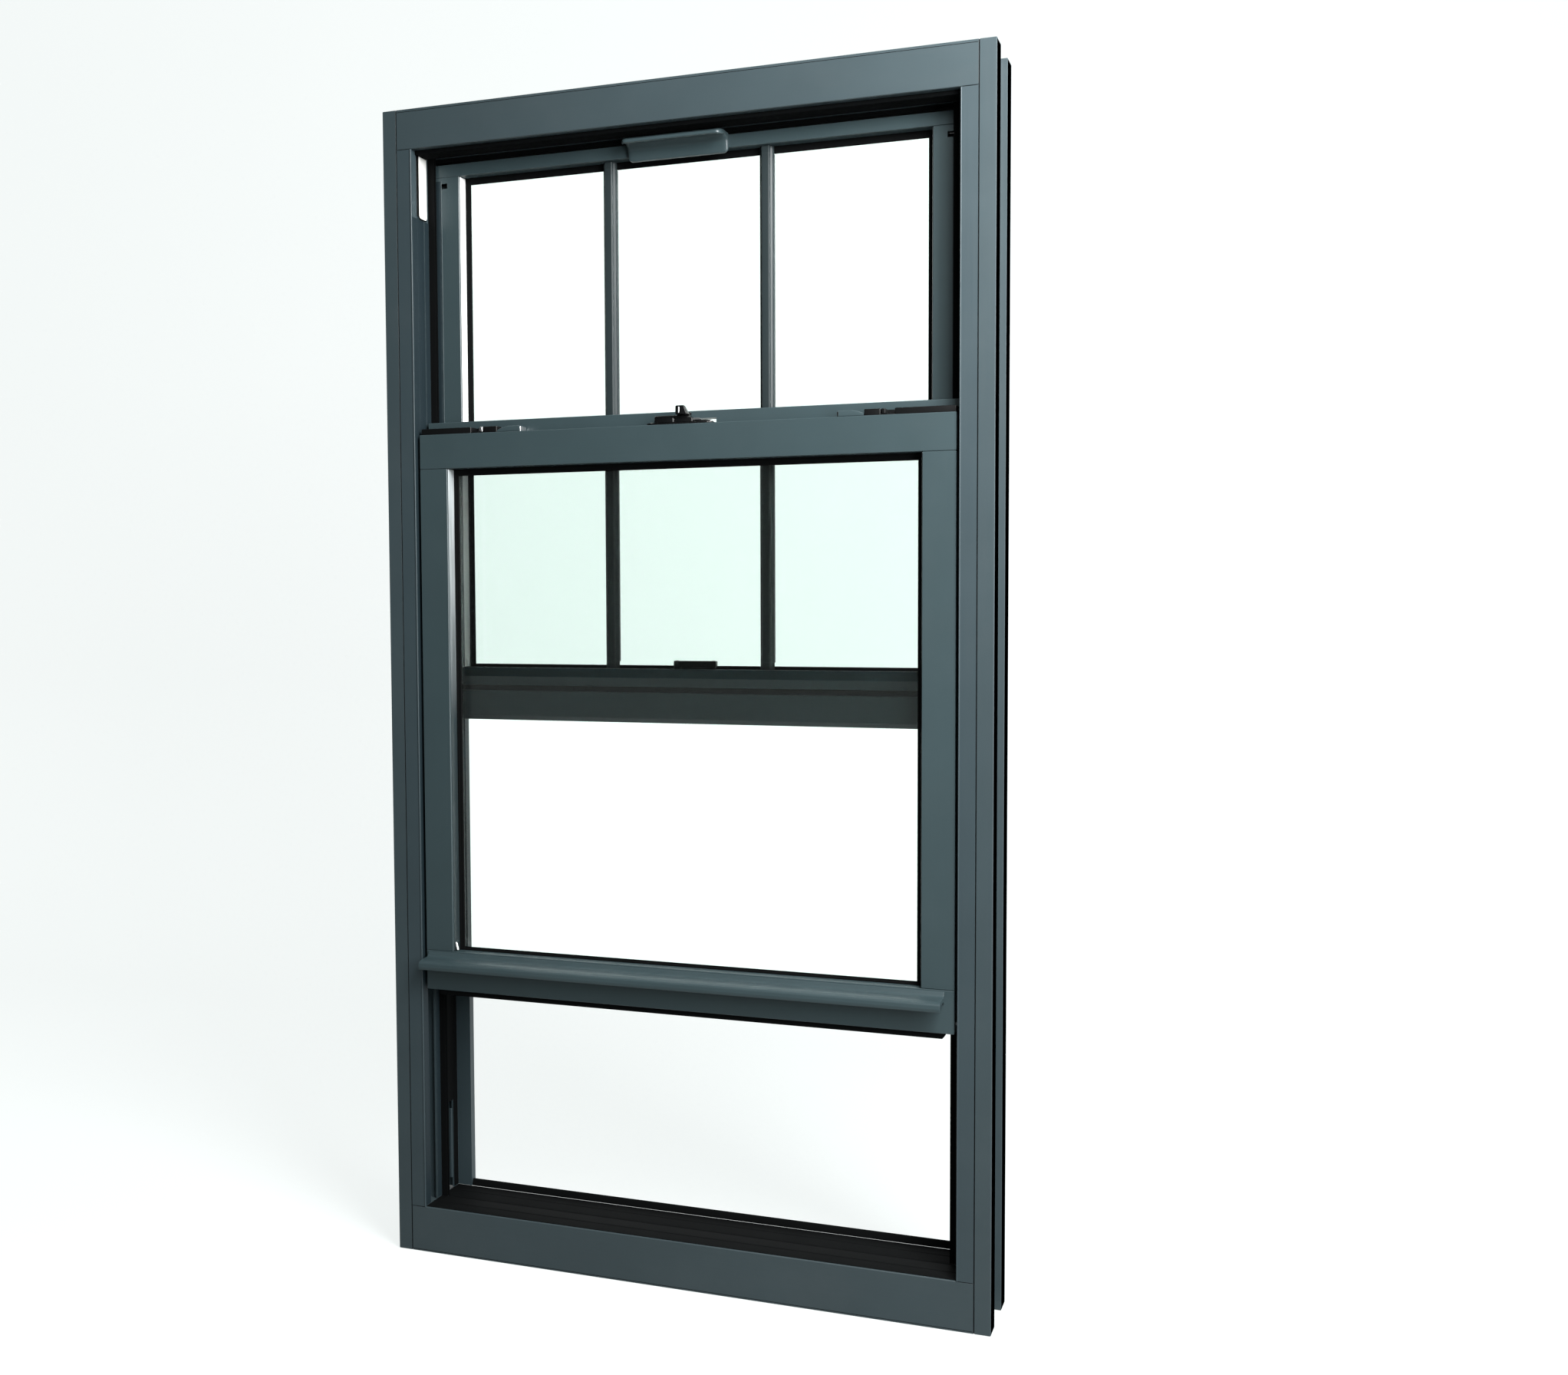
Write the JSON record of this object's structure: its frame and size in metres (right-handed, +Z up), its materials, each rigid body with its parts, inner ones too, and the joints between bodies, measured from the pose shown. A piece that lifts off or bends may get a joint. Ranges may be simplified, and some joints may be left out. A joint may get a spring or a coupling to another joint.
{
  "type": "double-hung sash window",
  "caption": "Double-hung window in dark grey: frame with balanced tracks and two glazed sashes that slide; the lower one tilts in.",
  "frame": {"origin": "middle of the width and of the whole depth, level with the frame's underside", "axes": "+X to the right seen from the room, +Y towards the outdoors, +Z up"},
  "size_m": [0.6984, 0.1026, 1.308],
  "materials": {
    "frame": "fine-grained graphite extrusion",
    "liner": "fine-grained graphite extrusion, slightly darker",
    "sash": "fine-grained graphite extrusion",
    "rubber": "black glazing gasket and seal",
    "glass": "clear float glass, faintly green at its edge",
    "spacer": "mill-bright spacer bar",
    "nylon": "white moulded nylon",
    "latch": "black moulded or die-cast hardware",
    "steel": "zinc-plated or spring steel"
  },
  "bodies": {
    "frame": {"corner_screw_left_bottom": "steel", "corner_screw_left_top": "steel", "corner_screw_right_bottom": "steel", "corner_screw_right_top": "steel", "head": "frame", "left_jamb": "frame", "left_parting_stop": "rubber", "left_track_liner": "liner", "lower_left_balance_tape": "steel", "lower_left_coil_housing": "nylon", "lower_right_balance_tape": "steel", "lower_right_coil_housing": "nylon", "right_jamb": "frame", "right_parting_stop": "rubber", "right_track_liner": "liner", "sill": "frame", "upper_left_balance_tape": "steel", "upper_left_coil_housing": "nylon", "upper_right_balance_tape": "steel", "upper_right_coil_housing": "nylon"},
    "lower_carriage": {"lower_left_balance_shoe": "nylon", "lower_right_balance_shoe": "nylon"},
    "lower_sash": {"lower_bottom_rail": "sash", "lower_bottom_seal": "rubber", "lower_check_rail": "sash", "lower_glass_spacer": "spacer", "lower_glazing_gasket": "rubber", "lower_left_pivot_bar": "steel", "lower_left_stile": "sash", "lower_outer_pane": "glass", "lower_right_pivot_bar": "steel", "lower_right_stile": "sash", "lower_room_pane": "glass", "lift_rail": "sash", "sash_lock_base": "latch", "tilt_latch_left_housing": "latch", "tilt_latch_right_housing": "latch"},
    "sash_lock": {"sash_lock_lever": "latch"},
    "lower_latch_left": {"tilt_latch_left_bolt": "steel"},
    "lower_latch_right": {"tilt_latch_right_bolt": "steel"},
    "upper_sash": {"upper_bottom_rail": "sash", "upper_glass_spacer": "spacer", "upper_glazing_gasket": "rubber", "upper_left_balance_shoe": "nylon", "upper_left_pivot_bar": "steel", "upper_left_stile": "sash", "upper_outer_pane": "glass", "upper_right_balance_shoe": "nylon", "upper_right_pivot_bar": "steel", "upper_right_stile": "sash", "upper_room_pane": "glass", "upper_top_rail": "sash", "muntin_left": "sash", "muntin_right": "sash", "pull_handle": "sash", "lock_keeper": "latch"},
    "upper_latch_left": {"upper_latch_left_bolt": "steel"},
    "upper_latch_right": {"upper_latch_right_bolt": "steel"}
  },
  "joints": [
    {"name": "lower_sash_slide", "type": "slide", "parent": "frame", "child": "lower_carriage", "axis": [0, 0, 1], "range_m": [-0.248, 0.262], "deforming": ["lower_left_balance_tape", "lower_right_balance_tape"]},
    {"name": "lower_sash_tilt", "type": "hinge", "parent": "lower_carriage", "child": "lower_sash", "pos_m": [0, -0.0125, 0.3185], "axis": [1, 0, 0], "range_deg": [0, 90]},
    {"name": "sash_lock_turn", "type": "hinge", "parent": "lower_sash", "child": "sash_lock", "pos_m": [0.011, -0.018, 0.9445], "axis": [0, 0, 1], "range_deg": [0, 90]},
    {"name": "lower_latch_left_slide", "type": "slide", "parent": "lower_sash", "child": "lower_latch_left", "axis": [1, 0, 0], "range_m": [-0.009, 0]},
    {"name": "lower_latch_right_slide", "type": "slide", "parent": "lower_sash", "child": "lower_latch_right", "axis": [-1, 0, 0], "range_m": [-0.009, 0]},
    {"name": "upper_sash_slide", "type": "slide", "parent": "frame", "child": "upper_sash", "axis": [0, 0, 1], "range_m": [-0.262, 0.007], "deforming": ["upper_left_balance_tape", "upper_right_balance_tape"]},
    {"name": "upper_latch_left_slide", "type": "slide", "parent": "upper_sash", "child": "upper_latch_left", "axis": [1, 0, 0], "range_m": [0, 0.009], "stiffness_N_per_m": 300, "springref_m": -0.004},
    {"name": "upper_latch_right_slide", "type": "slide", "parent": "upper_sash", "child": "upper_latch_right", "axis": [-1, 0, 0], "range_m": [0, 0.009], "stiffness_N_per_m": 300, "springref_m": -0.004}
  ]
}
